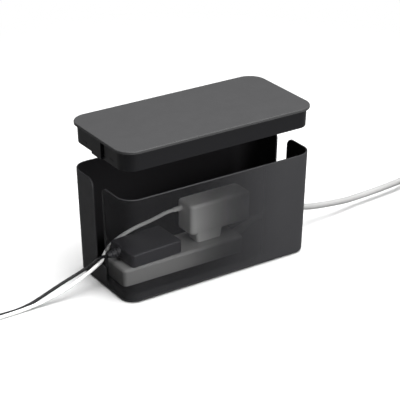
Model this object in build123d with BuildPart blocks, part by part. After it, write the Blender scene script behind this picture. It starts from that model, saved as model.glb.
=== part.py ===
from build123d import *
import math
import os

# Cable management box in use: an open tray with a cable slot in each end and a lift-off lid,
# holding a three-outlet power strip, a plug-in charger and a power adapter, with their leads.
# Millimetres. +X along the tray, -Y to its front, +Z up. The origin is under the middle of the
# tray, at the height of the surface that it stands on.

# ---- driving dimensions -------------------------------------------------------------------
TRAY_LENGTH = 240.0          # at the rim
TRAY_WIDTH = 116.0
RIM_HEIGHT = 122.0
DRAFT = 3.3                  # how far each side leans in between rim and base
RIM_CORNER = 19.0
BASE_CORNER = 16.0
WALL = 2.0
FOOT_PROUD = 0.8
FLOOR_TOP = 3.2

SLOT_HALF = 10.0             # cable slot in each end wall
SLOT_BOTTOM = 25.5
SLOT_FLARE = 9.0             # radius where the slot opens into the rim

LID_LIFT = 50.7              # the lid is held this far above its closed place
LID_PLATE = 3.0
LID_OVERHANG = 1.0
LID_UNDER = RIM_HEIGHT + 0.3 + LID_LIFT
SKIRT_DEPTH = 20.5
SKIRT_INSET = 2.4            # from the tray's rim outline, at the top of the skirt
SKIRT_LEAN = 0.7
SKIRT_WALL = 1.8
TAB_HALF = 9.6               # flexible tab that closes the top of the slot
SLIT_WIDTH = 4.0
SLIT_REACH = 8.0             # from just outside the rib through the skirt
SNAP_Y = 27.5
SNAP_ABOVE_SKIRT = 5.7
RIB_X = 112.2                # stiffening rib inside each end of the lid
RIB_HALF = 20.0
RIB_THICK = 1.4

STRIP_LEFT = -103.0
STRIP_RIGHT = 52.0
STRIP_WIDTH = 46.0
STRIP_BOTTOM = FLOOR_TOP
STRIP_SEAM = 9.5
STRIP_TOP = 23.2
STRIP_SHOULDER = 6.5
OUTLET_PITCH = 44.0
OUTLET_XS = [15.0 - 2 * OUTLET_PITCH, 15.0 - OUTLET_PITCH, 15.0]
BLADE_Y = 6.35               # half of the 12.7 mm blade spacing
BLADE_THICK = 1.5
BLADE_WIDE = 6.3
GROUND_DX = 11.9

CHARGER_LEFT = -9.0
CHARGER_RIGHT = 70.0
CHARGER_WIDTH = 30.0
CHARGER_Y = 5.0              # its blades are not in the middle of its width
CHARGER_BOTTOM = 33.0
CHARGER_SEAM = 38.0
CHARGER_TOP = 68.6
CHARGER_FOOT_X = OUTLET_XS[2]

ADAPTER_CENTER = (-60.5, 1.5)
ADAPTER_TURN = 2.7           # degrees, it lies a little askew on the strip
ADAPTER_LENGTH = 65.0
ADAPTER_WIDTH = 46.0
ADAPTER_BOTTOM = STRIP_TOP + 0.05
ADAPTER_SEAM = 31.0
ADAPTER_TOP = 38.5

MAINS_D = 7.5
CABLE_D = 4.0
DC_D = 3.5
TIE_THICK = 0.8              # the tie runs under each coil, so the coil lies this high

TRAY_RIM = (TRAY_LENGTH, TRAY_WIDTH)
TRAY_BASE = (TRAY_LENGTH - 2 * DRAFT, TRAY_WIDTH - 2 * DRAFT)
STRIP_MIDDLE = (STRIP_LEFT + STRIP_RIGHT) / 2
STRIP_LENGTH = STRIP_RIGHT - STRIP_LEFT
CHARGER_MIDDLE = (CHARGER_LEFT + CHARGER_RIGHT) / 2
STRIP_SIZE = (STRIP_LENGTH, STRIP_WIDTH)
CHARGER_SIZE = (CHARGER_RIGHT - CHARGER_LEFT, CHARGER_WIDTH)

os.makedirs("parts", exist_ok=True)


def save(builder, name):
    """Label a finished piece and write it under its node name."""
    builder.part.label = name
    export_step(builder.part, f"parts/{name}.step")


def plan(size, corner, z, inset=0.0, center=(0, 0)):
    """One rounded-rectangle section of a box at height z, inset all round."""
    with BuildSketch(Plane.XY.offset(z)) as section:
        with Locations(center):
            RectangleRounded(size[0] - 2 * inset, size[1] - 2 * inset, corner - inset)
    return section.sketch


# ---- tray ---------------------------------------------------------------------------------
with BuildPart() as tray_body:
    loft([plan(TRAY_BASE, BASE_CORNER, FOOT_PROUD), plan(TRAY_RIM, RIM_CORNER, RIM_HEIGHT)])
    fillet(tray_body.edges().group_by(Axis.Z)[0], radius=2.5)
    inside = [plan(TRAY_BASE, BASE_CORNER, FLOOR_TOP, WALL), plan(TRAY_RIM, RIM_CORNER, RIM_HEIGHT, WALL)]
    loft(inside, mode=Mode.SUBTRACT)
    fillet(tray_body.edges().group_by(Axis.Z)[-1], radius=0.6)
    with BuildSketch(Plane.YZ) as slot_outline:
        with Locations((0, (SLOT_BOTTOM + RIM_HEIGHT) / 2 + 1)):
            Rectangle(2 * SLOT_HALF, RIM_HEIGHT - SLOT_BOTTOM + 2)
        fillet(slot_outline.vertices().group_by(Axis.Y)[0], radius=2.0)
        for side in (-1, 1):
            flare_y = side * (SLOT_HALF + SLOT_FLARE / 2)
            with Locations((flare_y, RIM_HEIGHT - SLOT_FLARE / 2)):
                Rectangle(SLOT_FLARE, SLOT_FLARE)
            with Locations((flare_y, RIM_HEIGHT + 1)):
                Rectangle(SLOT_FLARE, 2)
            with Locations((side * (SLOT_HALF + SLOT_FLARE), RIM_HEIGHT - SLOT_FLARE)):
                Circle(SLOT_FLARE, mode=Mode.SUBTRACT)
    extrude(amount=TRAY_LENGTH, both=True, mode=Mode.SUBTRACT)
    snap_z = LID_UNDER - SKIRT_DEPTH + SNAP_ABOVE_SKIRT - LID_LIFT
    wall_inside = TRAY_LENGTH / 2 - WALL - (RIM_HEIGHT - snap_z) * DRAFT / RIM_HEIGHT
    for end in (-1, 1):
        with Locations((end * wall_inside, SNAP_Y, snap_z), (end * wall_inside, -SNAP_Y, snap_z)):
            Box(1.8, 9.0, 3.4, mode=Mode.SUBTRACT)
    foot_x = TRAY_LENGTH / 2 - 22
    foot_y = TRAY_WIDTH / 2 - 20
    with Locations((0, 0, FOOT_PROUD)):
        with GridLocations(2 * foot_x, 2 * foot_y, 2, 2):
            Cylinder(5.6, 1.6, mode=Mode.SUBTRACT)
save(tray_body, "tray_body")

with BuildPart() as tray_feet:
    with BuildSketch():
        with GridLocations(2 * foot_x, 2 * foot_y, 2, 2):
            Circle(5.5)
    extrude(amount=2 * FOOT_PROUD)
    chamfer(tray_feet.edges().group_by(Axis.Z)[0], length=0.3)
save(tray_feet, "tray_feet")

# ---- lid ----------------------------------------------------------------------------------
SKIRT_BOTTOM = LID_UNDER - SKIRT_DEPTH
SKIRT_INSIDE = SKIRT_INSET + SKIRT_WALL


def skirt_plan(inset, z):
    """The lid skirt's outline at one end of its depth."""
    return plan(TRAY_RIM, RIM_CORNER, z, inset)


with BuildPart() as lid:
    loft([skirt_plan(SKIRT_INSET, LID_UNDER), skirt_plan(SKIRT_INSET + SKIRT_LEAN, SKIRT_BOTTOM)])
    with Locations((0, 0, SKIRT_BOTTOM)):
        Box(TRAY_LENGTH - 1.0, 2 * TAB_HALF, SKIRT_DEPTH, align=(Align.CENTER, Align.CENTER, Align.MIN))
    hollow = [skirt_plan(SKIRT_INSIDE, LID_UNDER), skirt_plan(SKIRT_INSIDE + SKIRT_LEAN, SKIRT_BOTTOM)]
    loft(hollow, mode=Mode.SUBTRACT)
    with Locations((RIB_X, 0, LID_UNDER), (-RIB_X, 0, LID_UNDER)):
        Box(RIB_THICK, 2 * RIB_HALF, SKIRT_DEPTH - 0.6, align=(Align.CENTER, Align.CENTER, Align.MAX))
    slit_z = SKIRT_BOTTOM + 2.6 + 7.5
    slit_y = TAB_HALF + SLIT_WIDTH / 2
    for end in (-1, 1):
        with BuildSketch(Plane.YZ.offset(end * (RIB_X + RIB_THICK))):
            with Locations((slit_y, slit_z), (-slit_y, slit_z)):
                SlotOverall(15.0, SLIT_WIDTH, rotation=90)
        extrude(amount=end * SLIT_REACH, mode=Mode.SUBTRACT)
    extrude(plan(TRAY_RIM, RIM_CORNER, LID_UNDER, -LID_OVERHANG), amount=LID_PLATE)
    fillet(lid.edges().group_by(Axis.Z)[-1], radius=1.0)
    lean_here = SKIRT_LEAN * (SKIRT_DEPTH - SNAP_ABOVE_SKIRT) / SKIRT_DEPTH
    bump_x = TRAY_LENGTH / 2 - SKIRT_INSET - lean_here
    for end in (-1, 1):
        with Locations((end * (bump_x - 0.45), SNAP_Y, SKIRT_BOTTOM + SNAP_ABOVE_SKIRT)):
            Box(1.4, 7.0, 1.8)
        with Locations((end * (bump_x - 0.45), -SNAP_Y, SKIRT_BOTTOM + SNAP_ABOVE_SKIRT)):
            Box(1.4, 7.0, 1.8)
save(lid, "lid")

# ---- power strip --------------------------------------------------------------------------
screw_spots = [(x, y) for x in (STRIP_LEFT + 9, STRIP_RIGHT - 9) for y in (-15.0, 15.0)]
strip_at = (STRIP_MIDDLE, 0)
GLAND_Z = 15.0
with BuildPart() as strip_base:
    extrude(plan(STRIP_SIZE, 4.5, STRIP_BOTTOM, 0, strip_at), amount=STRIP_SEAM - STRIP_BOTTOM)
    fillet(strip_base.edges().group_by(Axis.Z)[0], radius=1.0)
    hollow = plan(STRIP_SIZE, 4.5, STRIP_BOTTOM + 2, 2.5, strip_at)
    extrude(hollow, amount=STRIP_SEAM - STRIP_BOTTOM, mode=Mode.SUBTRACT)
    with BuildSketch(Plane.XY.offset(STRIP_BOTTOM + 1)):
        with Locations(*screw_spots):
            Circle(4.0)
    extrude(amount=STRIP_SEAM - STRIP_BOTTOM - 1)
    with BuildSketch(Plane.XY.offset(STRIP_BOTTOM)):
        with Locations(*screw_spots):
            Circle(3.2)
    extrude(amount=2.4, mode=Mode.SUBTRACT)
    with BuildSketch(Plane.XY.offset(STRIP_BOTTOM)):
        with Locations(*screw_spots):
            Circle(1.7)
    extrude(amount=STRIP_SEAM, mode=Mode.SUBTRACT)
save(strip_base, "strip_base")

with BuildPart() as strip_cover:
    extrude(plan(STRIP_SIZE, 4.5, STRIP_SEAM, 0, strip_at), amount=STRIP_TOP - STRIP_SEAM)
    fillet(strip_cover.edges().group_by(Axis.Z)[-1], radius=STRIP_SHOULDER - 3)
    hollow = plan(STRIP_SIZE, 4.5, STRIP_SEAM, 2.5, strip_at)
    extrude(hollow, amount=STRIP_TOP - STRIP_SEAM - 2.6, mode=Mode.SUBTRACT)
    with BuildSketch(Plane.XY.offset(STRIP_SEAM)):
        with Locations(*screw_spots):
            Circle(4.0)
    extrude(amount=STRIP_TOP - STRIP_SEAM - 2.0)
    with BuildSketch(Plane.XY.offset(STRIP_SEAM)):
        with Locations(*screw_spots):
            Circle(1.55)
    extrude(amount=9.0, mode=Mode.SUBTRACT)
    with BuildSketch(Plane.XY.offset(STRIP_SEAM)):
        for outlet_x in OUTLET_XS:
            with Locations((outlet_x, BLADE_Y), (outlet_x, -BLADE_Y)):
                Rectangle(BLADE_WIDE + 0.8, BLADE_THICK + 0.8)
            with Locations((outlet_x - GROUND_DX, 0)):
                Circle(2.7)
    extrude(amount=STRIP_TOP, mode=Mode.SUBTRACT)
    with BuildSketch(Plane.YZ.offset(STRIP_RIGHT)):
        with Locations((0, GLAND_Z)):
            Circle(4.6)
    extrude(amount=-6.0, mode=Mode.SUBTRACT)
save(strip_cover, "strip_cover")

with BuildPart() as strip_screws:
    with BuildSketch(Plane.XY.offset(STRIP_BOTTOM + 0.3)):
        with Locations(*screw_spots):
            Circle(2.9)
    extrude(amount=2.1)
    with BuildSketch(Plane.XY.offset(STRIP_BOTTOM + 0.3)):
        with Locations(*screw_spots):
            Circle(1.5)
    extrude(amount=13.0)
    with BuildSketch(Plane.XY.offset(STRIP_BOTTOM + 0.3)):
        with Locations(*screw_spots):
            Rectangle(3.2, 0.8)
            Rectangle(0.8, 3.2)
    extrude(amount=1.0, mode=Mode.SUBTRACT)
save(strip_screws, "strip_screws")

BAR_Z = STRIP_BOTTOM + 2.1
BAR_THICK = 0.8
CLIP_TOP = 19.0
for bar_name, bar_y in (("live_busbar", BLADE_Y), ("neutral_busbar", -BLADE_Y)):
    with BuildPart() as busbar:
        with BuildSketch(Plane.XY.offset(BAR_Z)):
            with Locations((STRIP_MIDDLE, bar_y)):
                Rectangle(STRIP_LENGTH - 24, 5.0)
        extrude(amount=BAR_THICK)
        for outlet_x in OUTLET_XS:
            leaf_y = BLADE_THICK / 2 + 0.35 + 0.3
            with BuildSketch(Plane.XY.offset(BAR_Z)):
                with Locations((outlet_x, bar_y + leaf_y), (outlet_x, bar_y - leaf_y)):
                    Rectangle(8.0, 0.6)
            extrude(amount=CLIP_TOP - BAR_Z)
    save(busbar, bar_name)

with BuildPart() as ground_busbar:
    with BuildSketch(Plane.XY.offset(BAR_Z)):
        with Locations((STRIP_MIDDLE, 0)):
            Rectangle(STRIP_LENGTH - 24, 4.0)
    extrude(amount=BAR_THICK)
    with BuildSketch(Plane.XY.offset(BAR_Z)):
        with Locations(*[(outlet_x - GROUND_DX, 0) for outlet_x in OUTLET_XS]):
            Circle(3.4)
    extrude(amount=CLIP_TOP - BAR_Z)
    with BuildSketch(Plane.XY.offset(BAR_Z)):
        with Locations(*[(outlet_x - GROUND_DX, 0) for outlet_x in OUTLET_XS]):
            Circle(2.6)
    extrude(amount=CLIP_TOP, mode=Mode.SUBTRACT)
save(ground_busbar, "ground_busbar")

GLAND_LENGTH = 20.0
GLAND_TILT = math.radians(20.0)
gland_way = Vector(math.cos(GLAND_TILT), 0, math.sin(GLAND_TILT))
gland_tip = Vector(STRIP_RIGHT, 0, GLAND_Z) + gland_way * GLAND_LENGTH
with BuildPart() as strip_gland:
    with BuildSketch(Plane.YZ.offset(STRIP_RIGHT - 4.0)):
        with Locations((0, GLAND_Z)):
            Circle(5.4)
    extrude(amount=1.4)
    with BuildSketch(Plane.YZ.offset(STRIP_RIGHT - 4.0)):
        with Locations((0, GLAND_Z)):
            Circle(4.55)
    extrude(amount=4.0)
    with BuildSketch(Plane.YZ.offset(STRIP_RIGHT)):
        with Locations((0, GLAND_Z)):
            Circle(5.6)
    with BuildSketch(Plane(origin=gland_tip, x_dir=(0, 1, 0), z_dir=gland_way)):
        Circle(4.3)
    loft()
save(strip_gland, "strip_gland")

# ---- charger ------------------------------------------------------------------------------
charger_at = (CHARGER_MIDDLE, CHARGER_Y)
BLADE_TIP = 8.0
CABLE_EXIT = (CHARGER_LEFT, 11.0, 60.0)
with BuildPart() as charger_case:
    extrude(plan(CHARGER_SIZE, 5.0, CHARGER_SEAM, 0, charger_at), amount=CHARGER_TOP - CHARGER_SEAM)
    fillet(charger_case.edges().group_by(Axis.Z)[-1], radius=3.5)
    hollow = plan(CHARGER_SIZE, 5.0, CHARGER_SEAM, 2, charger_at)
    extrude(hollow, amount=CHARGER_TOP - CHARGER_SEAM - 3, mode=Mode.SUBTRACT)
save(charger_case, "charger_case")

with BuildPart() as charger_base:
    extrude(plan(CHARGER_SIZE, 5.0, CHARGER_BOTTOM, 0, charger_at), amount=CHARGER_SEAM - CHARGER_BOTTOM)
    fillet(charger_base.edges().group_by(Axis.Z)[0], radius=3.5)
    foot_low = plan((31.0, 19.0), 3.0, STRIP_TOP + 0.1, 0, (CHARGER_FOOT_X, 0))
    foot_high = plan((36.0, 19.6), 3.0, CHARGER_BOTTOM + 3.5, 0, (CHARGER_FOOT_X, 0))
    loft([foot_low, foot_high])
    hollow = plan(CHARGER_SIZE, 5.0, CHARGER_BOTTOM + 2.5, 2, charger_at)
    extrude(hollow, amount=CHARGER_SEAM, mode=Mode.SUBTRACT)
    with Locations((CHARGER_MIDDLE, CHARGER_Y, CHARGER_BOTTOM + 2)):
        with GridLocations(CHARGER_SIZE[0] - 14, CHARGER_SIZE[1] - 14, 2, 2):
            Cylinder(2.0, 5.0, align=(Align.CENTER, Align.CENTER, Align.MIN))
    with BuildSketch(Plane.XY.offset(STRIP_TOP)):
        with Locations((CHARGER_FOOT_X, BLADE_Y), (CHARGER_FOOT_X, -BLADE_Y)):
            Rectangle(BLADE_WIDE, BLADE_THICK)
    extrude(amount=20, mode=Mode.SUBTRACT)
save(charger_base, "charger_base")

with BuildPart() as charger_blades:
    with BuildSketch(Plane.XY.offset(BLADE_TIP)):
        with Locations((CHARGER_FOOT_X, BLADE_Y), (CHARGER_FOOT_X, -BLADE_Y)):
            Rectangle(BLADE_WIDE, BLADE_THICK)
    extrude(amount=CHARGER_BOTTOM + 4 - BLADE_TIP)
    chamfer(charger_blades.edges().group_by(Axis.Z)[0], length=0.4)
save(charger_blades, "charger_blades")

BOARD_Z = CHARGER_BOTTOM + 7.0
with BuildPart() as charger_board:
    extrude(plan(CHARGER_SIZE, 5.0, BOARD_Z, 3.5, charger_at), amount=1.6)
save(charger_board, "charger_board")

with BuildPart() as charger_transformer:
    with Locations((CHARGER_MIDDLE + 8, CHARGER_Y, BOARD_Z + 1.6)):
        Box(20, 18, 4, align=(Align.CENTER, Align.CENTER, Align.MIN))
    with Locations((CHARGER_MIDDLE + 8, CHARGER_Y, BOARD_Z + 5.6)):
        Cylinder(7.5, 10, align=(Align.CENTER, Align.CENTER, Align.MIN))
    with Locations((CHARGER_MIDDLE + 8, CHARGER_Y, BOARD_Z + 15.6)):
        Box(20, 18, 4, align=(Align.CENTER, Align.CENTER, Align.MIN))
save(charger_transformer, "charger_transformer")

with BuildPart() as charger_capacitors:
    with Locations((CHARGER_LEFT + 14, CHARGER_Y - 5, BOARD_Z + 1.6)):
        Cylinder(5.0, 19, align=(Align.CENTER, Align.CENTER, Align.MIN))
    with Locations((CHARGER_RIGHT - 13, CHARGER_Y + 3, BOARD_Z + 1.6)):
        Cylinder(4.0, 15, align=(Align.CENTER, Align.CENTER, Align.MIN))
save(charger_capacitors, "charger_capacitors")

CABLE_BOOT = 10.0
with BuildPart() as charger_boot:
    with BuildSketch(Plane.YZ.offset(CABLE_EXIT[0])):
        with Locations((CABLE_EXIT[1], CABLE_EXIT[2])):
            Circle(3.4)
    with BuildSketch(Plane.YZ.offset(CABLE_EXIT[0] - CABLE_BOOT)):
        with Locations((CABLE_EXIT[1], CABLE_EXIT[2])):
            Circle(2.5)
    loft()
save(charger_boot, "charger_boot")

# ---- adapter ------------------------------------------------------------------------------
turn = math.radians(ADAPTER_TURN)
ADAPTER_X = (math.cos(turn), math.sin(turn), 0)
adapter_plane = Plane(origin=(*ADAPTER_CENTER, 0), x_dir=ADAPTER_X, z_dir=(0, 0, 1))
adapter_end = Plane(origin=(*ADAPTER_CENTER, 0), x_dir=(-ADAPTER_X[1], ADAPTER_X[0], 0), z_dir=ADAPTER_X)
INLET_Z = 31.0
INLET_DEPTH = 12.0


def adapter_plan(inset, z):
    """One rounded section of the adapter, in its own askew axes."""
    with BuildSketch(adapter_plane.offset(z)) as section:
        RectangleRounded(ADAPTER_LENGTH - 2 * inset, ADAPTER_WIDTH - 2 * inset, 4.0 - inset)
    return section.sketch


def inlet_outline(width, height):
    """The inlet's rounded outline, on the adapter's right end."""
    with BuildSketch(adapter_end.offset(ADAPTER_LENGTH / 2)) as outline:
        with Locations((0, INLET_Z)):
            SlotOverall(width, height)
    return outline.sketch


with BuildPart() as adapter_base:
    extrude(adapter_plan(0, ADAPTER_BOTTOM), amount=ADAPTER_SEAM - ADAPTER_BOTTOM)
    fillet(adapter_base.edges().group_by(Axis.Z)[0], radius=1.5)
    extrude(adapter_plan(2, ADAPTER_BOTTOM + 2), amount=ADAPTER_SEAM, mode=Mode.SUBTRACT)
    with BuildSketch(adapter_plane.offset(ADAPTER_BOTTOM + 1)):
        with Locations((18, 16), (18, -16), (-26, 16), (-26, -16)):
            Circle(1.8)
    extrude(amount=2.0)
    extrude(inlet_outline(17.0, 9.0), amount=-(INLET_DEPTH + 2), mode=Mode.SUBTRACT)
save(adapter_base, "adapter_base")

with BuildPart() as adapter_cover:
    extrude(adapter_plan(0, ADAPTER_SEAM), amount=ADAPTER_TOP - ADAPTER_SEAM)
    fillet(adapter_cover.edges().group_by(Axis.Z)[-1], radius=1.8)
    extrude(adapter_plan(2, ADAPTER_SEAM), amount=ADAPTER_TOP - ADAPTER_SEAM - 2, mode=Mode.SUBTRACT)
    extrude(inlet_outline(17.0, 9.0), amount=-(INLET_DEPTH + 2), mode=Mode.SUBTRACT)
save(adapter_cover, "adapter_cover")

with BuildPart() as adapter_inlet:
    extrude(inlet_outline(17.0, 9.0), amount=-INLET_DEPTH)
    extrude(inlet_outline(15.0, 7.0), amount=-(INLET_DEPTH - 1.5), mode=Mode.SUBTRACT)
save(adapter_inlet, "adapter_inlet")

with BuildPart() as adapter_inlet_pins:
    with BuildSketch(adapter_end.offset(ADAPTER_LENGTH / 2 - INLET_DEPTH + 1.5)):
        with Locations((4.3, INLET_Z), (-4.3, INLET_Z)):
            Circle(1.2)
    extrude(amount=8.5)
save(adapter_inlet_pins, "adapter_inlet_pins")

with BuildPart() as adapter_board:
    with BuildSketch(adapter_plane.offset(ADAPTER_BOTTOM + 3)):
        with Locations((-4.5, 0)):
            Rectangle(50, 38)
    extrude(amount=0.3)
save(adapter_board, "adapter_board")

with BuildPart() as adapter_transformer:
    with BuildSketch(adapter_plane.offset(ADAPTER_BOTTOM + 3.3)):
        with Locations((-8, 4)):
            RectangleRounded(22, 20, 2)
    extrude(amount=9.0)
    chamfer(adapter_transformer.edges().group_by(Axis.Z)[-1], length=0.8)
save(adapter_transformer, "adapter_transformer")

DC_BOOT = 15.0
DC_BOOT_LOCAL_Y = 4.0
DC_BOOT_Z = 32.2
with BuildPart() as adapter_boot:
    for at, radius in ((0.0, 6.0), (DC_BOOT, 2.8)):
        with BuildSketch(adapter_end.offset(-ADAPTER_LENGTH / 2 - at)):
            with Locations((DC_BOOT_LOCAL_Y, DC_BOOT_Z)):
                Circle(radius)
    loft()
save(adapter_boot, "adapter_boot")

# ---- cords --------------------------------------------------------------------------------
# Each route is straight runs between hand-set points, rounded by tangent arcs.
boot_plane = adapter_end.offset(-ADAPTER_LENGTH / 2 - DC_BOOT)
boot_tip = boot_plane.from_local_coords((DC_BOOT_LOCAL_Y, DC_BOOT_Z, 0))

MAINS_TURNS_WIDE = 3
MAINS_TURNS_HIGH = 2
MAINS_COIL = (376.0, -11.75)
MAINS_COIL_R = 41.0
CABLE_TURNS_WIDE = 4
CABLE_TURNS_HIGH = 2
CABLE_COIL = (-300.0, -36.0)
CABLE_COIL_R = 24.0
DC_TURNS_WIDE = 4
DC_TURNS_HIGH = 2
DC_COIL = (-272.0, 26.25)
DC_COIL_R = 20.5

mains_outer = MAINS_COIL_R + (MAINS_TURNS_WIDE - 1) * MAINS_D / 2
cable_outer = CABLE_COIL_R + (CABLE_TURNS_WIDE - 1) * CABLE_D / 2
dc_outer = DC_COIL_R + (DC_TURNS_WIDE - 1) * DC_D / 2

mains_first = gland_tip + gland_way * 22.0
mains_route = [
    (gland_tip.X, 0, gland_tip.Z), (mains_first.X, 0, mains_first.Z), (121, 0.1, 34.4),
    (154.6, 0, 21.6), (190, 1.5, 16.5), (214, 4, 13), (226.5, 6.5, 11.3), (257.3, 9, 10.5),
    (284.2, 11.5, 10.5), (309.4, 14.5, 10.5), (331, 21.5, 8.4), (351, 30.8, 5.4),
    (MAINS_COIL[0], MAINS_COIL[1] + mains_outer, TIE_THICK + MAINS_D / 2),
]
cable_route = [
    (CABLE_EXIT[0] - CABLE_BOOT - 0.3, CABLE_EXIT[1], CABLE_EXIT[2]),
    (-27, CABLE_EXIT[1], CABLE_EXIT[2]), (-36, 13.5, 55.8),
    (-49.8, 18.5, 49.6), (-61.4, 23, 45), (-79.3, 27.6, 36.4), (-90, 27, 31), (-99.5, 19.5, 29.8),
    (-109.5, 9, 30.4), (-117.5, -0.7, 29.5), (-127.5, -3, 26), (-136.5, -3.2, 21.6),
    (-147.5, -4, 17.4), (-160, -4.8, 12.6), (-172, -5, 9.2), (-186, -4.8, 6.2), (-201, -5, 3.6),
    (-218, -4.9, 2.1), (-235, -5.4, 2), (-255, -5.6, 2.1), (-277, -6.2, 2.4),
    (CABLE_COIL[0], CABLE_COIL[1] + cable_outer, TIE_THICK + CABLE_D / 2),
]
dc_route = [
    (boot_tip.X, boot_tip.Y, boot_tip.Z), (-117.5, 0.9, 34.3), (-127.5, 0.8, 30.2), (-137, 1, 25.4),
    (-149.5, 1.5, 20.8), (-162.5, 1.1, 17.2), (-174, 0.5, 13.6), (-190, 0.1, 8.2), (-204, -0.5, 3.9),
    (-219, -1, 1.9), (-233, -0.7, 1.75), (-250, 0, 1.9),
    (DC_COIL[0], DC_COIL[1] - dc_outer, TIE_THICK + DC_D / 2),
]

# Plugs lie beside their coils. The tails run from the top turn to the plug's boot.
MAINS_PLUG_Z = 12.0
mains_top = TIE_THICK + (MAINS_TURNS_HIGH - 0.5) * MAINS_D
mains_tail = [
    (MAINS_COIL[0], MAINS_COIL[1] - mains_outer, mains_top),
    (MAINS_COIL[0] - 14, MAINS_COIL[1] - mains_outer, mains_top + 0.1),
    (MAINS_COIL[0] - 28, MAINS_COIL[1] - mains_outer - 1, MAINS_PLUG_Z),
]
CONNECTOR_Z = 4.2
cable_top = TIE_THICK + (CABLE_TURNS_HIGH - 0.5) * CABLE_D
cable_tail = [
    (CABLE_COIL[0], CABLE_COIL[1] + cable_outer, cable_top),
    (CABLE_COIL[0] - 10, CABLE_COIL[1] + cable_outer, cable_top - 0.2),
    (CABLE_COIL[0] - 19, CABLE_COIL[1] + cable_outer, CONNECTOR_Z + 0.8),
    (CABLE_COIL[0] - 30, CABLE_COIL[1] + cable_outer, CONNECTOR_Z),
]
DC_PLUG_Z = 4.8
dc_top = TIE_THICK + (DC_TURNS_HIGH - 0.5) * DC_D
dc_tail = [
    (DC_COIL[0] - dc_outer, DC_COIL[1], dc_top),
    (DC_COIL[0] - dc_outer, DC_COIL[1] + 9, dc_top - 0.15),
    (DC_COIL[0] - dc_outer, DC_COIL[1] + 17, DC_PLUG_Z + 0.5),
    (DC_COIL[0] - dc_outer, DC_COIL[1] + 27, DC_PLUG_Z),
]


def bend_radii(route):
    """The arc at each corner: 0.45 of the shorter run over the tangent of half the turn."""
    points = [Vector(*point) for point in route]
    radii = []
    for before, corner, after in zip(points, points[1:], points[2:]):
        run_in = corner - before
        run_out = after - corner
        half_turn = math.radians(run_in.get_angle(run_out) / 2)
        radii.append(0.45 * min(run_in.length, run_out.length) / math.tan(half_turn))
    return radii


def make_tube(name, route, diameter):
    """One stretch of cord as straight runs joined by tangent arcs."""
    radii = bend_radii(route)
    with BuildPart() as tube:
        with BuildLine():
            path = FilletPolyline(*route, radius=radii)
        with BuildSketch(Plane(origin=path @ 0, z_dir=path % 0)):
            Circle(diameter / 2)
        sweep()
    expected = math.pi * diameter ** 2 / 4 * path.length
    tightest = min(radii) / diameter
    print(name, "length", round(path.length, 1), "volume ratio", round(tube.part.volume / expected, 4))
    print("   radii", [round(radius, 1) for radius in radii], "tightest in diameters", round(tightest, 1))
    save(tube, name)


def make_coil(name, center, mean_radius, wide, high, diameter):
    """The outer shape of a wound coil: a ring of wide by high turns."""
    with BuildPart() as coil:
        with BuildSketch(Plane.XZ):
            with Locations((mean_radius, TIE_THICK + high * diameter / 2)):
                RectangleRounded(wide * diameter, high * diameter, diameter * 0.45)
        revolve(axis=Axis.Z)
    coil.part.position = (*center, 0)
    save(coil, name)


def make_tie(name, center, mean_radius, wide, high, diameter, angle):
    """A strap round the coil's section, bent to the coil's curve."""
    arc = math.degrees(8.0 / mean_radius)
    width = wide * diameter
    height = high * diameter
    with BuildPart() as tie:
        with BuildSketch(Plane.XZ):
            with Locations((mean_radius, TIE_THICK + high * diameter / 2)):
                RectangleRounded(width + 2 * TIE_THICK, height + 2 * TIE_THICK, diameter * 0.6)
                RectangleRounded(width + 0.1, height + 0.1, diameter * 0.4, mode=Mode.SUBTRACT)
        revolve(axis=Axis.Z, revolution_arc=arc)
    tie.part.orientation = (0, 0, angle)
    tie.part.position = (*center, 0)
    save(tie, name)


make_tube("mains_lead", mains_route, MAINS_D)
make_tube("charger_cable", cable_route, CABLE_D)
make_tube("dc_cord", dc_route, DC_D)
make_tube("mains_lead_tail", mains_tail, MAINS_D)
make_tube("charger_cable_tail", cable_tail, CABLE_D)
make_tube("dc_cord_tail", dc_tail, DC_D)
make_coil("mains_lead_coil", MAINS_COIL, MAINS_COIL_R, MAINS_TURNS_WIDE, MAINS_TURNS_HIGH, MAINS_D)
make_coil("charger_cable_coil", CABLE_COIL, CABLE_COIL_R, CABLE_TURNS_WIDE, CABLE_TURNS_HIGH, CABLE_D)
make_coil("dc_cord_coil", DC_COIL, DC_COIL_R, DC_TURNS_WIDE, DC_TURNS_HIGH, DC_D)
make_tie("mains_lead_tie", MAINS_COIL, MAINS_COIL_R, MAINS_TURNS_WIDE, MAINS_TURNS_HIGH, MAINS_D, 0)
make_tie("charger_cable_tie", CABLE_COIL, CABLE_COIL_R, CABLE_TURNS_WIDE, CABLE_TURNS_HIGH, CABLE_D, -60)
make_tie("dc_cord_tie", DC_COIL, DC_COIL_R, DC_TURNS_WIDE, DC_TURNS_HIGH, DC_D, 60)

# ---- plugs --------------------------------------------------------------------------------
MAINS_BOOT = 24.0
MAINS_PLUG_LENGTH = 32.0
mains_end = mains_tail[-1]
mains_plug_plane = Plane(origin=mains_end, x_dir=(0, 1, 0), z_dir=(-1, 0, 0))
with BuildPart() as mains_plug:
    with BuildSketch(mains_plug_plane):
        Circle(4.3)
    with BuildSketch(mains_plug_plane.offset(MAINS_BOOT)):
        Circle(7.0)
    loft()
    with BuildSketch(mains_plug_plane.offset(MAINS_BOOT)):
        RectangleRounded(25.0, 23.0, 6.0)
    extrude(amount=MAINS_PLUG_LENGTH)
    plug_edges = mains_plug.edges().filter_by(lambda edge: edge.length > 1.0)
    fillet(plug_edges.group_by(Axis.X)[0], radius=2.0)
save(mains_plug, "mains_plug")

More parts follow.
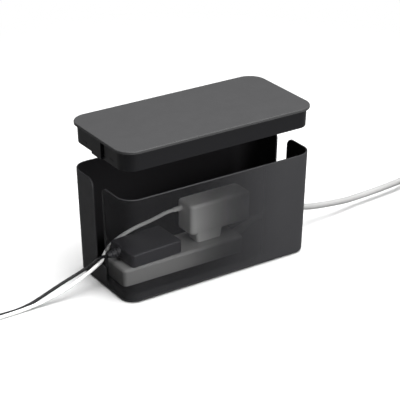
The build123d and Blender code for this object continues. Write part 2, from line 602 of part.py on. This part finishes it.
with BuildPart() as mains_plug_blades:
    face = mains_plug_plane.offset(MAINS_BOOT + MAINS_PLUG_LENGTH)
    with BuildSketch(face):
        with Locations((BLADE_Y, 3.5), (-BLADE_Y, 3.5)):
            Rectangle(BLADE_THICK, BLADE_WIDE)
    extrude(amount=15.9)
    with BuildSketch(face):
        with Locations((0, 3.5 - GROUND_DX)):
            Circle(2.4)
    extrude(amount=18.0)
save(mains_plug_blades, "mains_plug_blades")

cable_end = cable_tail[-1]
connector_plane = Plane(origin=cable_end, x_dir=(0, 1, 0), z_dir=(-1, 0, 0))
with BuildPart() as charger_connector:
    with BuildSketch(connector_plane):
        Circle(2.6)
    with BuildSketch(connector_plane.offset(9.0)):
        Circle(3.3)
    loft()
    with BuildSketch(connector_plane.offset(9.0)):
        RectangleRounded(12.0, 7.2, 3.0)
    extrude(amount=19.0)
save(charger_connector, "charger_connector")

with BuildPart() as charger_connector_shell:
    with BuildSketch(connector_plane.offset(28.0)):
        RectangleRounded(8.3, 2.5, 1.2)
    extrude(amount=6.5)
    with BuildSketch(connector_plane.offset(34.5)):
        RectangleRounded(7.5, 1.7, 0.8)
    extrude(amount=-5.5, mode=Mode.SUBTRACT)
save(charger_connector_shell, "charger_connector_shell")

dc_end = dc_tail[-1]
dc_plug_plane = Plane(origin=dc_end, x_dir=(1, 0, 0), z_dir=(0, 1, 0))
with BuildPart() as dc_plug:
    with BuildSketch(dc_plug_plane):
        Circle(2.4)
    with BuildSketch(dc_plug_plane.offset(10.0)):
        Circle(3.6)
    loft()
    with BuildSketch(dc_plug_plane.offset(10.0)):
        Circle(4.75)
    extrude(amount=16.0)
    fillet(dc_plug.edges().group_by(Axis.Y)[-1], radius=0.8)
save(dc_plug, "dc_plug")

with BuildPart() as dc_plug_barrel:
    with BuildSketch(dc_plug_plane.offset(26.0)):
        Circle(2.75)
        Circle(1.25, mode=Mode.SUBTRACT)
    extrude(amount=9.5)
save(dc_plug_barrel, "dc_plug_barrel")
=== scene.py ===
import math

import bmesh
import bpy
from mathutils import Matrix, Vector


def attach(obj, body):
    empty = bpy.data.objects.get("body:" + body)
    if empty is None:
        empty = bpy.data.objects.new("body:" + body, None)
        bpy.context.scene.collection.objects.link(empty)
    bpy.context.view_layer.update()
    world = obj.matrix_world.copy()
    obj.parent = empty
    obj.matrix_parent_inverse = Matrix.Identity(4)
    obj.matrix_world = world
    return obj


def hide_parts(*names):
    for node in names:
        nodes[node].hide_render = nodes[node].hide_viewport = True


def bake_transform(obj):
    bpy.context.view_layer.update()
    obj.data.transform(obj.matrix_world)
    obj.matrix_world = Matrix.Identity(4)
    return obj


# Cable management box, shown with its lid lifted and its contents seen through the front wall.
# Metres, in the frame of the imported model: +X along the tray, -Y to its front, +Z up.

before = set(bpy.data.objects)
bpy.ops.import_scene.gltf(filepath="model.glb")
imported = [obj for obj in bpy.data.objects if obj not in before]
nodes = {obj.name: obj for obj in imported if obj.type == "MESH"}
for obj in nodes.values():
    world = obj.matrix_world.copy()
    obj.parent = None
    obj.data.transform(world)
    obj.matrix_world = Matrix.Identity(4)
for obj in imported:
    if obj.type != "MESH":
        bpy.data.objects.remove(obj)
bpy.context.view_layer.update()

MM = 0.001
scene = bpy.context.scene
collection = scene.collection


def mm(*values):
    """A point given in millimetres."""
    return Vector([value * MM for value in values])


# ---- camera -------------------------------------------------------------------------------
LOOK_AT = mm(-15.1, -36.3, 90.0)
CAMERA_AZIMUTH = math.radians(-33.114)
CAMERA_ELEVATION = math.radians(25.535)
CAMERA_DISTANCE = 1584.2 * MM
back = Vector((
    math.sin(CAMERA_AZIMUTH) * math.cos(CAMERA_ELEVATION),
    -math.cos(CAMERA_AZIMUTH) * math.cos(CAMERA_ELEVATION),
    math.sin(CAMERA_ELEVATION),
))
camera_data = bpy.data.cameras.new("camera")
camera_data.sensor_width = 36.0
camera_data.lens = 133.61
camera_data.clip_start = 0.05
camera_data.clip_end = 50.0
camera = bpy.data.objects.new("camera", camera_data)
camera.location = LOOK_AT + back * CAMERA_DISTANCE
camera.rotation_mode = "QUATERNION"
camera.rotation_quaternion = back.to_track_quat("Z", "Y")
collection.objects.link(camera)
scene.camera = camera


# ---- cords --------------------------------------------------------------------------------
# Each route runs from the cord's exit to its coil, in millimetres, as in the CAD.
TIE_THICK = 0.8                  # a coil lies on the strap of its tie
TURN_POINTS = 16                 # control points in each turn of a coil
MAINS_D = 7.5
CABLE_D = 4.0
DC_D = 3.5


def ease(value):
    """0 to 1, smooth at both ends."""
    value = min(1.0, max(0.0, value))
    return value * value * (3 - 2 * value)


def wound(center, mean_radius, wide, diameter, turns, start, way):
    """Control points, in millimetres, of a coil in two layers: the lower one is wound from the
    outside in and the upper one from the inside out. start is the angle of its first point."""
    part_turn = turns % 1.0
    clear = part_turn if part_turn > 0.4 else part_turn + 0.06
    span = 1.0 - clear
    upper = (clear, clear + 0.52 * span)
    rise = (clear + 0.2 * span, clear + 0.76 * span)
    lower = (clear + 0.48 * span, 1.0)
    swell = 1.0 / math.cos(math.pi / TURN_POINTS)
    points = []
    for step in range(int(round(turns * TURN_POINTS)) + 1):
        along = step / TURN_POINTS
        passes = int(along)
        here = along - passes
        if passes < wide - 1:
            column = passes + ease((here - lower[0]) / (lower[1] - lower[0]))
            layer = 0.0
        elif passes == wide - 1:
            column = wide - 1.0
            layer = ease((here - rise[0]) / (rise[1] - rise[0]))
        else:
            moved = ease((here - upper[0]) / (upper[1] - upper[0]))
            column = max(0.0, 2 * wide - 1 - passes - moved)
            layer = 1.0
        radius = mean_radius + ((wide - 1) / 2 - column) * diameter
        grown = 1.0 if step in (0, int(round(turns * TURN_POINTS))) else swell
        angle = start + way * along * 2 * math.pi
        points.append((
            center[0] + radius * grown * math.cos(angle),
            center[1] + radius * grown * math.sin(angle),
            TIE_THICK + (0.5 + layer) * diameter,
        ))
    return points


def nurbs(name, points, diameter):
    """A round cord along one open NURBS spline with these control points, in millimetres."""
    curve = bpy.data.curves.new(name, "CURVE")
    curve.dimensions = "3D"
    spline = curve.splines.new("NURBS")
    spline.points.add(len(points) - 1)
    for at, point in zip(spline.points, points):
        at.co = (*mm(*point), 1.0)
    spline.order_u = 3
    spline.use_endpoint_u = True
    spline.resolution_u = 8
    curve.resolution_u = 8
    curve.bevel_depth = diameter / 2 * MM
    curve.bevel_resolution = 5
    curve.use_fill_caps = True
    cord = bpy.data.objects.new(name, curve)
    collection.objects.link(cord)
    return cord


def centreline(cord):
    """The points along a curve object's own line, in metres."""
    bevel = cord.data.bevel_depth
    cord.data.bevel_depth = 0.0
    bpy.context.view_layer.update()
    line = bpy.data.meshes.new_from_object(cord.evaluated_get(bpy.context.evaluated_depsgraph_get()))
    points = [tuple(vertex.co) for vertex in line.vertices]
    bpy.data.meshes.remove(line)
    cord.data.bevel_depth = bevel
    bpy.context.view_layer.update()
    return points


def tube(line, name):
    """The line's own surface as a mesh object, and the path that it follows."""
    path = centreline(line)
    surface = bpy.data.meshes.new_from_object(
        line.evaluated_get(bpy.context.evaluated_depsgraph_get()))
    made = bpy.data.objects.new(name, surface)
    collection.objects.link(made)
    bpy.data.objects.remove(line)
    return made, path


mains_route = [
    (70.79, 0, 21.84), (91.47, 0, 29.36), (121, 0.1, 34.4), (154.6, 0, 21.6),
    (190, 1.5, 16.5), (214, 4, 13), (226.5, 6.5, 11.3), (257.3, 9, 10.5), (284.2, 11.5, 10.5),
    (309.4, 14.5, 10.5), (331, 21.5, 8.4), (351, 30.8, 5.4),
]
mains_coil = wound((376, -11.75), 41.0, 3, MAINS_D, 5.5, math.pi / 2, -1)
mains_tail = [(362, -60.25, 12.15), (348, -61.25, 12.0)]
mains_cord, mains_path = tube(
    nurbs("mains_line", mains_route + mains_coil + mains_tail, MAINS_D), "mains_lead_cord")
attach(mains_cord, "tray")
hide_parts("mains_lead", "mains_lead_coil", "mains_lead_tail")

# The seventh point stands 3.7 mm from its place in the CAD route. The others repeat theirs.
cable_route = [
    (-19.3, 11, 60), (-27, 11, 60), (-36, 13.5, 55.8), (-49.8, 18.5, 49.6),
    (-61.4, 23, 45), (-79.3, 27.6, 36.4), (-91.5, 28.5, 28), (-99.5, 19.5, 29.8),
    (-109.5, 9, 30.4), (-117.5, -0.7, 29.5), (-127.5, -3, 26), (-136.5, -3.2, 21.6),
    (-147.5, -4, 17.4), (-160, -4.8, 12.6), (-172, -5, 9.2), (-186, -4.8, 6.2), (-201, -5, 3.6),
    (-218, -4.9, 2.1), (-235, -5.4, 2), (-255, -5.6, 2.1), (-277, -6.2, 2.4),
]
cable_coil = wound((-300, -36), 24.0, 4, CABLE_D, 7.0, math.pi / 2, 1)
cable_tail = [(-310, -6, 6.6), (-319, -6, 5.0), (-330, -6, 4.2)]
cable_cord, cable_path = tube(
    nurbs("cable_line", cable_route + cable_coil + cable_tail, CABLE_D), "charger_cable_cord")
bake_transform(cable_cord)
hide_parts("charger_cable", "charger_cable_coil", "charger_cable_tail")

dc_route = [
    (-108.14, 3.26, 32.2), (-117.5, 0.9, 34.3), (-127.5, 0.8, 30.2), (-137, 1, 25.4),
    (-149.5, 1.5, 20.8), (-162.5, 1.1, 17.2), (-174, 0.5, 13.6), (-190, 0.1, 8.2),
    (-204, -0.5, 3.9), (-219, -1, 1.9), (-233, -0.7, 1.75), (-250, 0, 1.9),
]
dc_coil = wound((-272, 26.25), 20.5, 4, DC_D, 7.25, -math.pi / 2, -1)
dc_tail = [(-297.75, 35.25, 5.9), (-297.75, 43.25, 5.3), (-297.75, 53.25, 4.8)]
dc_cord, dc_path = tube(nurbs("dc_line", dc_route + dc_coil + dc_tail, DC_D), "dc_cord_line")
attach(dc_cord, "tray")
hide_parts("dc_cord", "dc_cord_coil", "dc_cord_tail")


# ---- strain reliefs -----------------------------------------------------------------------
SLEEVE_SIDES = 48


def strain_relief(name, stands_for, body, base, tip, wide, thin, rings, depth):
    """A tapered sleeve where a cord leaves a housing. Rows of windows are sunk into it by depth,
    a share of its radius, each row a quarter turn from the last, so that it bends evenly."""
    along = tip - base
    across = along.orthogonal().normalized()
    upright = along.normalized().cross(across)
    stations = [(0.0, None)]
    for ring in range(rings):
        for part, row in ((0.3, None), (0.4, ring), (0.8, ring), (0.9, None)):
            stations.append(((ring + part) / rings, row))
    stations.append((1.0, None))
    mesh = bmesh.new()
    loops = []
    for share, row in stations:
        loop = []
        for side in range(SLEEVE_SIDES):
            angle = 2 * math.pi * side / SLEEVE_SIDES
            radius = (wide + (thin - wide) * share) * MM
            if row is not None and math.cos(2 * angle + math.pi * row) > -0.4:
                radius *= 1 - depth
            spoke = across * math.cos(angle) + upright * math.sin(angle)
            loop.append(mesh.verts.new(base + along * share + spoke * radius))
        loops.append(loop)
    for low, high in zip(loops, loops[1:]):
        for side in range(SLEEVE_SIDES):
            after = (side + 1) % SLEEVE_SIDES
            mesh.faces.new((low[side], low[after], high[after], high[side]))
    mesh.faces.new(loops[0])
    mesh.faces.new(loops[-1])
    bmesh.ops.recalc_face_normals(mesh, faces=mesh.faces)
    data = bpy.data.meshes.new(name)
    mesh.to_mesh(data)
    mesh.free()
    data.shade_smooth()
    data.set_sharp_from_angle(angle=math.radians(35))
    sleeve = bpy.data.objects.new(name, data)
    collection.objects.link(sleeve)
    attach(sleeve, body)
    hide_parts(stands_for)
    return sleeve


adapter_sleeve = strain_relief(
    "adapter_sleeve", "adapter_boot", "tray",
    mm(-93.15, 3.97, 32.2), mm(-108.14, 3.26, 32.2), 5.95, 2.8, 5, 0.2)
charger_sleeve = strain_relief(
    "charger_sleeve", "charger_boot", "charger",
    mm(-9, 11, 60), mm(-19, 11, 60), 3.4, 2.5, 4, 0.14)
gland_sleeve = strain_relief(
    "gland_sleeve", "strip_gland", "tray",
    mm(52, 0, 15), mm(70.79, 0, 21.84), 5.3, 4.3, 6, 0.1)


# ---- floor --------------------------------------------------------------------------------
FLOOR_REACH = 2.0                # from the middle to each edge, in metres
floor_mesh = bpy.data.meshes.new("floor")
floor_mesh.from_pydata([
    (-FLOOR_REACH, -FLOOR_REACH, 0), (FLOOR_REACH, -FLOOR_REACH, 0),
    (FLOOR_REACH, FLOOR_REACH, 0), (-FLOOR_REACH, FLOOR_REACH, 0)], [], [(0, 1, 2, 3)])
floor = bpy.data.objects.new("floor", floor_mesh)
collection.objects.link(floor)


# ---- materials ----------------------------------------------------------------------------
# Places on the tray and the lid, in millimetres.
CORNER_X = 100.85                # centres of the tray's rounded corners
CORNER_Y = 38.85
CORNER_LEAN = 0.0246             # the corner's radius grows by this for each millimetre of height
IN_THE_WALL = (14.4, 15.6)       # from a corner's centre, within the wall's thickness at its foot: where the painted shade of the inner faces begins
SKIRT_TOP = (172.4, 173.2)       # where the lid's skirt meets its plate, and where its painted shade begins
CLEAR_Y = (-13.0, -8.0)          # the front wall is clear as far back as this
CLEAR_X = (-50.0, 82.0)          # from clear to solid
CLEAR_FOOT = (3.3, 4.2)
CLEAR_RIM = (120.6, 121.4)
HAZY_FOOT = (9.0, 15.0)          # less clear below this
HAZE = 0.55                      # the share of the clearness that is left there
FADE_BOW = 0.8                   # under 1, the fade keeps clear for longer


class Finish:
    """A procedural material, built from nodes in the object's own space."""

    def __init__(self, name, colour, roughness, metallic=0.0, specular=0.5):
        self.material = bpy.data.materials.new(name)
        self.material.use_nodes = True
        self.tree = self.material.node_tree
        self.shader = self.tree.nodes["Principled BSDF"]
        self.output = self.tree.nodes["Material Output"]
        self.shader.inputs["Base Color"].default_value = (*colour, 1.0)
        self.shader.inputs["Roughness"].default_value = roughness
        self.shader.inputs["Metallic"].default_value = metallic
        self.shader.inputs["Specular IOR Level"].default_value = specular
        self.colour = colour
        self.roughness = roughness
        self.place = self.node("ShaderNodeTexCoord").outputs["Object"]
        self.normal = None

    def node(self, kind, **settings):
        made = self.tree.nodes.new(kind)
        for key, value in settings.items():
            setattr(made, key, value)
        return made

    def link(self, source, target):
        self.tree.links.new(source, target)

    def noise(self, size_mm, detail=2.0, stretch=(1.0, 1.0, 1.0)):
        """Noise with features of about this size."""
        mapping = self.node("ShaderNodeMapping")
        mapping.inputs["Scale"].default_value = stretch
        self.link(self.place, mapping.inputs["Vector"])
        noise = self.node("ShaderNodeTexNoise")
        noise.inputs["Scale"].default_value = 1000.0 / size_mm
        noise.inputs["Detail"].default_value = detail
        self.link(mapping.outputs["Vector"], noise.inputs["Vector"])
        return noise.outputs["Fac"]

    def axes(self):
        """The place along each of the object's axes, in metres."""
        split = self.node("ShaderNodeSeparateXYZ")
        self.link(self.place, split.inputs["Vector"])
        return split.outputs

    def ramp(self, value, low, high, to_low, to_high, smooth=False):
        """value from low..high to to_low..to_high."""
        spread = self.node("ShaderNodeMapRange")
        spread.interpolation_type = "SMOOTHSTEP" if smooth else "LINEAR"
        self.link(value, spread.inputs["Value"])
        for key, number in (("From Min", low), ("From Max", high), ("To Min", to_low),
                            ("To Max", to_high)):
            spread.inputs[key].default_value = number
        return spread.outputs["Result"]

    def band(self, value, edges_mm, to_low, to_high, smooth=False):
        """A ramp between two places in millimetres."""
        low, high = edges_mm
        return self.ramp(value, low * MM, high * MM, to_low, to_high, smooth)

    def bump(self, height, depth_mm, strength=1.0):
        """Relief on the surface, added over any that is there."""
        bump = self.node("ShaderNodeBump")
        bump.inputs["Strength"].default_value = strength
        bump.inputs["Distance"].default_value = depth_mm * MM
        self.link(height, bump.inputs["Height"])
        if self.normal is not None:
            self.link(self.normal, bump.inputs["Normal"])
        self.normal = bump.outputs["Normal"]
        self.link(self.normal, self.shader.inputs["Normal"])
        return self

    def vary_roughness(self, size_mm, by):
        noise = self.noise(size_mm, 3.0)
        spread = self.ramp(noise, 0.3, 0.7, self.roughness - by, self.roughness + by)
        self.link(spread, self.shader.inputs["Roughness"])
        return self

    def vary_colour(self, size_mm, by):
        """Slight lightness changes, as moulded and handled plastic has."""
        mix = self.node("ShaderNodeMix", data_type="RGBA")
        low = [channel * (1 - by) for channel in self.colour]
        high = [min(1.0, channel * (1 + by)) for channel in self.colour]
        mix.inputs["A"].default_value = (*low, 1.0)
        mix.inputs["B"].default_value = (*high, 1.0)
        self.link(self.ramp(self.noise(size_mm, 4.0), 0.3, 0.7, 0.0, 1.0), mix.inputs["Factor"])
        self.link(mix.outputs["Result"], self.shader.inputs["Base Color"])
        return self

    def shade(self, where, colour, roughness):
        """Another colour and roughness where the mask is 1."""
        for socket, value in (("Base Color", (*colour, 1.0)), ("Roughness", roughness)):
            target = self.shader.inputs[socket]
            kind = "RGBA" if socket == "Base Color" else "FLOAT"
            mix = self.node("ShaderNodeMix", data_type=kind)
            self.link(where, mix.inputs["Factor"])
            self.link(target.links[0].from_socket, mix.inputs["A"])
            mix.inputs["B"].default_value = value
            self.link(mix.outputs["Result"], target)
        return self


def moulded(name, colour, roughness, grain_mm, grain_depth, specular=0.5):
    """Injection-moulded plastic with a fine eroded-mould texture."""
    made = Finish(name, colour, roughness, specular=specular)
    made.vary_colour(22.0, 0.03).vary_roughness(9.0, 0.03)
    made.bump(made.noise(grain_mm, 3.0), grain_depth, 0.5)
    return made


def painted_skirt_shade(made):
    """The lid's skirt is moulded smoother than its top. Its colour is near black as painted shade
    for the little light that falls on its sides.
    """
    skirt = made.band(made.axes()["Z"], SKIRT_TOP, 1.0, 0.0)
    # painted shade: the skirt's sides are coloured near black
    made.shade(skirt, (0.004, 0.004, 0.005), 0.42)


tray_finish = moulded("tray_moulded", (0.026, 0.026, 0.028), 0.55, 0.45, 0.03, 0.25)
lid_finish = moulded("lid_moulded", (0.036, 0.036, 0.037), 0.5, 0.45, 0.025, 0.22)
# painted shade on the lid's skirt
painted_skirt_shade(lid_finish)
strip_finish = moulded("strip_moulded", (0.31, 0.31, 0.307), 0.45, 0.6, 0.01, 0.3)
charger_finish = moulded("charger_moulded", (0.92, 0.92, 0.91), 0.4, 0.8, 0.008)
adapter_finish = moulded("adapter_moulded", (0.033, 0.032, 0.038), 0.45, 0.6, 0.06)
rubber_finish = moulded("rubber_moulded", (0.02, 0.02, 0.02), 0.8, 0.9, 0.04, 0.3)
board_finish = moulded("board_mask", (0.03, 0.16, 0.07), 0.35, 1.4, 0.01)
ferrite_finish = moulded("ferrite_sintered", (0.055, 0.055, 0.06), 0.6, 0.5, 0.03)


def sheathing(name, colour, roughness, specular=0.5):
    """Extruded cord sheath: faint lengthwise unevenness and handling marks."""
    made = Finish(name, colour, roughness, specular=specular)
    made.vary_colour(30.0, 0.05).vary_roughness(12.0, 0.06)
    made.bump(made.noise(5.0, 2.0), 0.05, 0.3)
    return made


mains_sheath = sheathing("mains_sheath_pvc", (0.29, 0.29, 0.287), 0.5, 0.3)
white_sheath = sheathing("white_sheath_tpe", (0.82, 0.82, 0.81), 0.35)
black_sheath = sheathing("black_sheath_pvc", (0.006, 0.006, 0.007), 0.28, 0.12)


def plated(name, colour, roughness):
    """Stamped metal with fine drawing lines."""
    made = Finish(name, colour, roughness, metallic=1.0)
    made.vary_roughness(3.0, 0.06)
    made.bump(made.noise(1.2, 2.0, (0.08, 1.0, 1.0)), 0.01, 0.4)
    return made


steel_finish = plated("steel_plated", (0.66, 0.65, 0.63), 0.25)
brass_finish = plated("brass_stamped", (0.78, 0.6, 0.28), 0.28)


def hook_and_loop():
    """Black strap covered in small loops."""
    made = Finish("strap_loops", (0.02, 0.02, 0.021), 0.95, specular=0.2)
    cells = made.node("ShaderNodeTexVoronoi")
    cells.inputs["Scale"].default_value = 1000.0 / 0.7
    made.link(made.place, cells.inputs["Vector"])
    made.bump(cells.outputs["Distance"], 0.3, 0.9)
    made.shader.inputs["Sheen Weight"].default_value = 0.4
    return made


strap_finish = hook_and_loop()


def painted_inside_shade(made, colour):
    """Painted shade: the inner faces are coloured near black and made rough, for the little light
    that reaches them. Inside is found from the distance to the rounded plan of the walls, which
    leans out with height."""
    fold = made.node("ShaderNodeVectorMath", operation="ABSOLUTE")
    made.link(made.place, fold.inputs[0])
    shift = made.node("ShaderNodeVectorMath", operation="SUBTRACT")
    made.link(fold.outputs["Vector"], shift.inputs[0])
    shift.inputs[1].default_value = (CORNER_X * MM, CORNER_Y * MM, 1.0)
    beyond = made.node("ShaderNodeVectorMath", operation="MAXIMUM")
    made.link(shift.outputs["Vector"], beyond.inputs[0])
    beyond.inputs[1].default_value = (0.0, 0.0, 0.0)
    reach = made.node("ShaderNodeVectorMath", operation="LENGTH")
    made.link(beyond.outputs["Vector"], reach.inputs[0])
    lean = made.node("ShaderNodeMath", operation="MULTIPLY_ADD")
    made.link(made.axes()["Z"], lean.inputs[0])
    lean.inputs[1].default_value = -CORNER_LEAN
    made.link(reach.outputs["Value"], lean.inputs[2])
    inside = made.band(lean.outputs["Value"], IN_THE_WALL, 1.0, 0.0)
    # painted shade on the tray's inner faces
    made.shade(inside, colour, 0.9)


def see_through_front(made, clearness):
    """Lets the contents show through the front wall: clear from the left slot on, fading to solid
    towards the right, and solid along the foot and the rim."""
    axes = made.axes()
    fade = made.node("ShaderNodeMath", operation="POWER")
    made.link(made.band(axes["X"], CLEAR_X, 1.0, 0.0, smooth=True), fade.inputs[0])
    fade.inputs[1].default_value = FADE_BOW
    factors = (
        made.band(axes["Y"], CLEAR_Y, 1.0, 0.0, smooth=True),
        fade.outputs["Value"],
        made.band(axes["Z"], CLEAR_FOOT, 0.0, 1.0, smooth=True),
        made.band(axes["Z"], CLEAR_RIM, 1.0, 0.0, smooth=True),
        made.band(axes["Z"], HAZY_FOOT, HAZE, 1.0, smooth=True),
    )
    joined = factors[0]
    for factor in factors[1:]:
        times = made.node("ShaderNodeMath", operation="MULTIPLY")
        made.link(joined, times.inputs[0])
        made.link(factor, times.inputs[1])
        joined = times.outputs["Value"]
    share = made.ramp(joined, 0.0, 1.0, 0.0, clearness)
    clear = made.node("ShaderNodeBsdfTransparent")
    mix = made.node("ShaderNodeMixShader")
    made.link(share, mix.inputs["Fac"])
    made.link(made.shader.outputs["BSDF"], mix.inputs[1])
    made.link(clear.outputs["BSDF"], mix.inputs[2])
    made.link(mix.outputs["Shader"], made.output.inputs["Surface"])


# painted shade: the tray's inner faces are darkened
painted_inside_shade(tray_finish, (0.004, 0.0036, 0.0045))
see_through_front(tray_finish, 0.74)

finish_of = {
    tray_finish: ("tray_body",),
    rubber_finish: ("tray_feet",),
    lid_finish: ("lid",),
    strip_finish: ("strip_base", "strip_cover", "mains_plug"),
    steel_finish: ("strip_screws", "charger_blades", "adapter_inlet_pins", "mains_plug_blades",
                   "charger_connector_shell", "dc_plug_barrel"),
    brass_finish: ("live_busbar", "neutral_busbar", "ground_busbar"),
    charger_finish: ("charger_case", "charger_base", "charger_connector"),
    board_finish: ("charger_board", "adapter_board"),
    ferrite_finish: ("charger_transformer", "charger_capacitors", "adapter_transformer"),
    adapter_finish: ("adapter_base", "adapter_cover", "adapter_inlet", "dc_plug"),
    strap_finish: ("mains_lead_tie", "charger_cable_tie", "dc_cord_tie"),
}
for finish, names in finish_of.items():
    for name in names:
        node = nodes[name]
        if not node.data.materials:
            node.data.materials.append(finish.material)
        for slot in node.material_slots:
            slot.material = finish.material
adapter_sleeve.data.materials.append(adapter_finish.material)
charger_sleeve.data.materials.append(charger_finish.material)
gland_sleeve.data.materials.append(strip_finish.material)
mains_cord.data.materials.append(mains_sheath.material)
cable_cord.data.materials.append(white_sheath.material)
dc_cord.data.materials.append(black_sheath.material)

FLOOR_BOUNCE = 0.16              # how much of the studio's light the floor sends back up
SWEEP = (350.0, 850.0)           # from the middle, where the paper turns into plain white


def floor_paper():
    """To the camera, paper that fades to plain white. To every other ray, a duller paper."""
    paper = Finish("floor_paper", (0.62, 0.62, 0.62), 0.9, specular=0.1)
    distance = paper.node("ShaderNodeVectorMath", operation="LENGTH")
    paper.link(paper.place, distance.inputs[0])
    white = paper.node("ShaderNodeEmission")
    sweep = paper.node("ShaderNodeMixShader")
    paper.link(paper.band(distance.outputs["Value"], SWEEP, 0.0, 1.0, smooth=True),
               sweep.inputs["Fac"])
    paper.link(paper.shader.outputs["BSDF"], sweep.inputs[1])
    paper.link(white.outputs["Emission"], sweep.inputs[2])
    dull = paper.node("ShaderNodeBsdfDiffuse")
    dull.inputs["Color"].default_value = (FLOOR_BOUNCE, FLOOR_BOUNCE, FLOOR_BOUNCE, 1.0)
    pick = paper.node("ShaderNodeMixShader")
    paper.link(paper.node("ShaderNodeLightPath").outputs["Is Camera Ray"], pick.inputs["Fac"])
    paper.link(dull.outputs["BSDF"], pick.inputs[1])
    paper.link(sweep.outputs["Shader"], pick.inputs[2])
    paper.link(pick.outputs["Shader"], paper.output.inputs["Surface"])
    return paper.material


floor_mesh.materials.append(floor_paper())


# ---- light --------------------------------------------------------------------------------
WORLD_LOW = 0.05                 # the world's strength at the horizon and below
WORLD_HIGH = 0.4                 # and overhead
WORLD_FULL = 0.8                 # how far up, as a share of straight up, it reaches that
BOX_MIDDLE = (0, 0, 60)


def softbox(name, place, aim, size, power):
    """A square area light at place, turned to aim, both in millimetres. size is in metres."""
    data = bpy.data.lights.new(name, "AREA")
    data.shape = "SQUARE"
    data.size = size
    data.energy = power
    lamp = bpy.data.objects.new(name, data)
    lamp.location = mm(*place)
    lamp.rotation_mode = "QUATERNION"
    lamp.rotation_quaternion = (mm(*place) - mm(*aim)).to_track_quat("Z", "Y")
    collection.objects.link(lamp)


softbox("softbox_top", (150, -100, 1700), BOX_MIDDLE, 1.6, 70.0)
softbox("softbox_front", (400, -1500, 600), BOX_MIDDLE, 0.9, 31.0)


def studio_world():
    """Plain white to the camera. To every other ray it is dim, and brighter overhead."""
    world = bpy.data.worlds.new("studio")
    world.use_nodes = True
    sky = world.node_tree
    direction = sky.nodes.new("ShaderNodeTexCoord")
    upward = sky.nodes.new("ShaderNodeSeparateXYZ")
    sky.links.new(direction.outputs["Generated"], upward.inputs["Vector"])
    glow = sky.nodes.new("ShaderNodeMapRange")
    sky.links.new(upward.outputs["Z"], glow.inputs["Value"])
    glow.inputs["From Min"].default_value = 0.0
    glow.inputs["From Max"].default_value = WORLD_FULL
    glow.inputs["To Min"].default_value = WORLD_LOW
    glow.inputs["To Max"].default_value = WORLD_HIGH
    seen = sky.nodes.new("ShaderNodeMix")
    camera_ray = sky.nodes.new("ShaderNodeLightPath").outputs["Is Camera Ray"]
    sky.links.new(camera_ray, seen.inputs["Factor"])
    sky.links.new(glow.outputs["Result"], seen.inputs["A"])
    seen.inputs["B"].default_value = 1.0
    background = sky.nodes["Background"]
    background.inputs["Color"].default_value = (1.0, 1.0, 1.0, 1.0)
    sky.links.new(seen.outputs["Result"], background.inputs["Strength"])
    return world


scene.world = studio_world()
scene.view_settings.view_transform = "Standard"
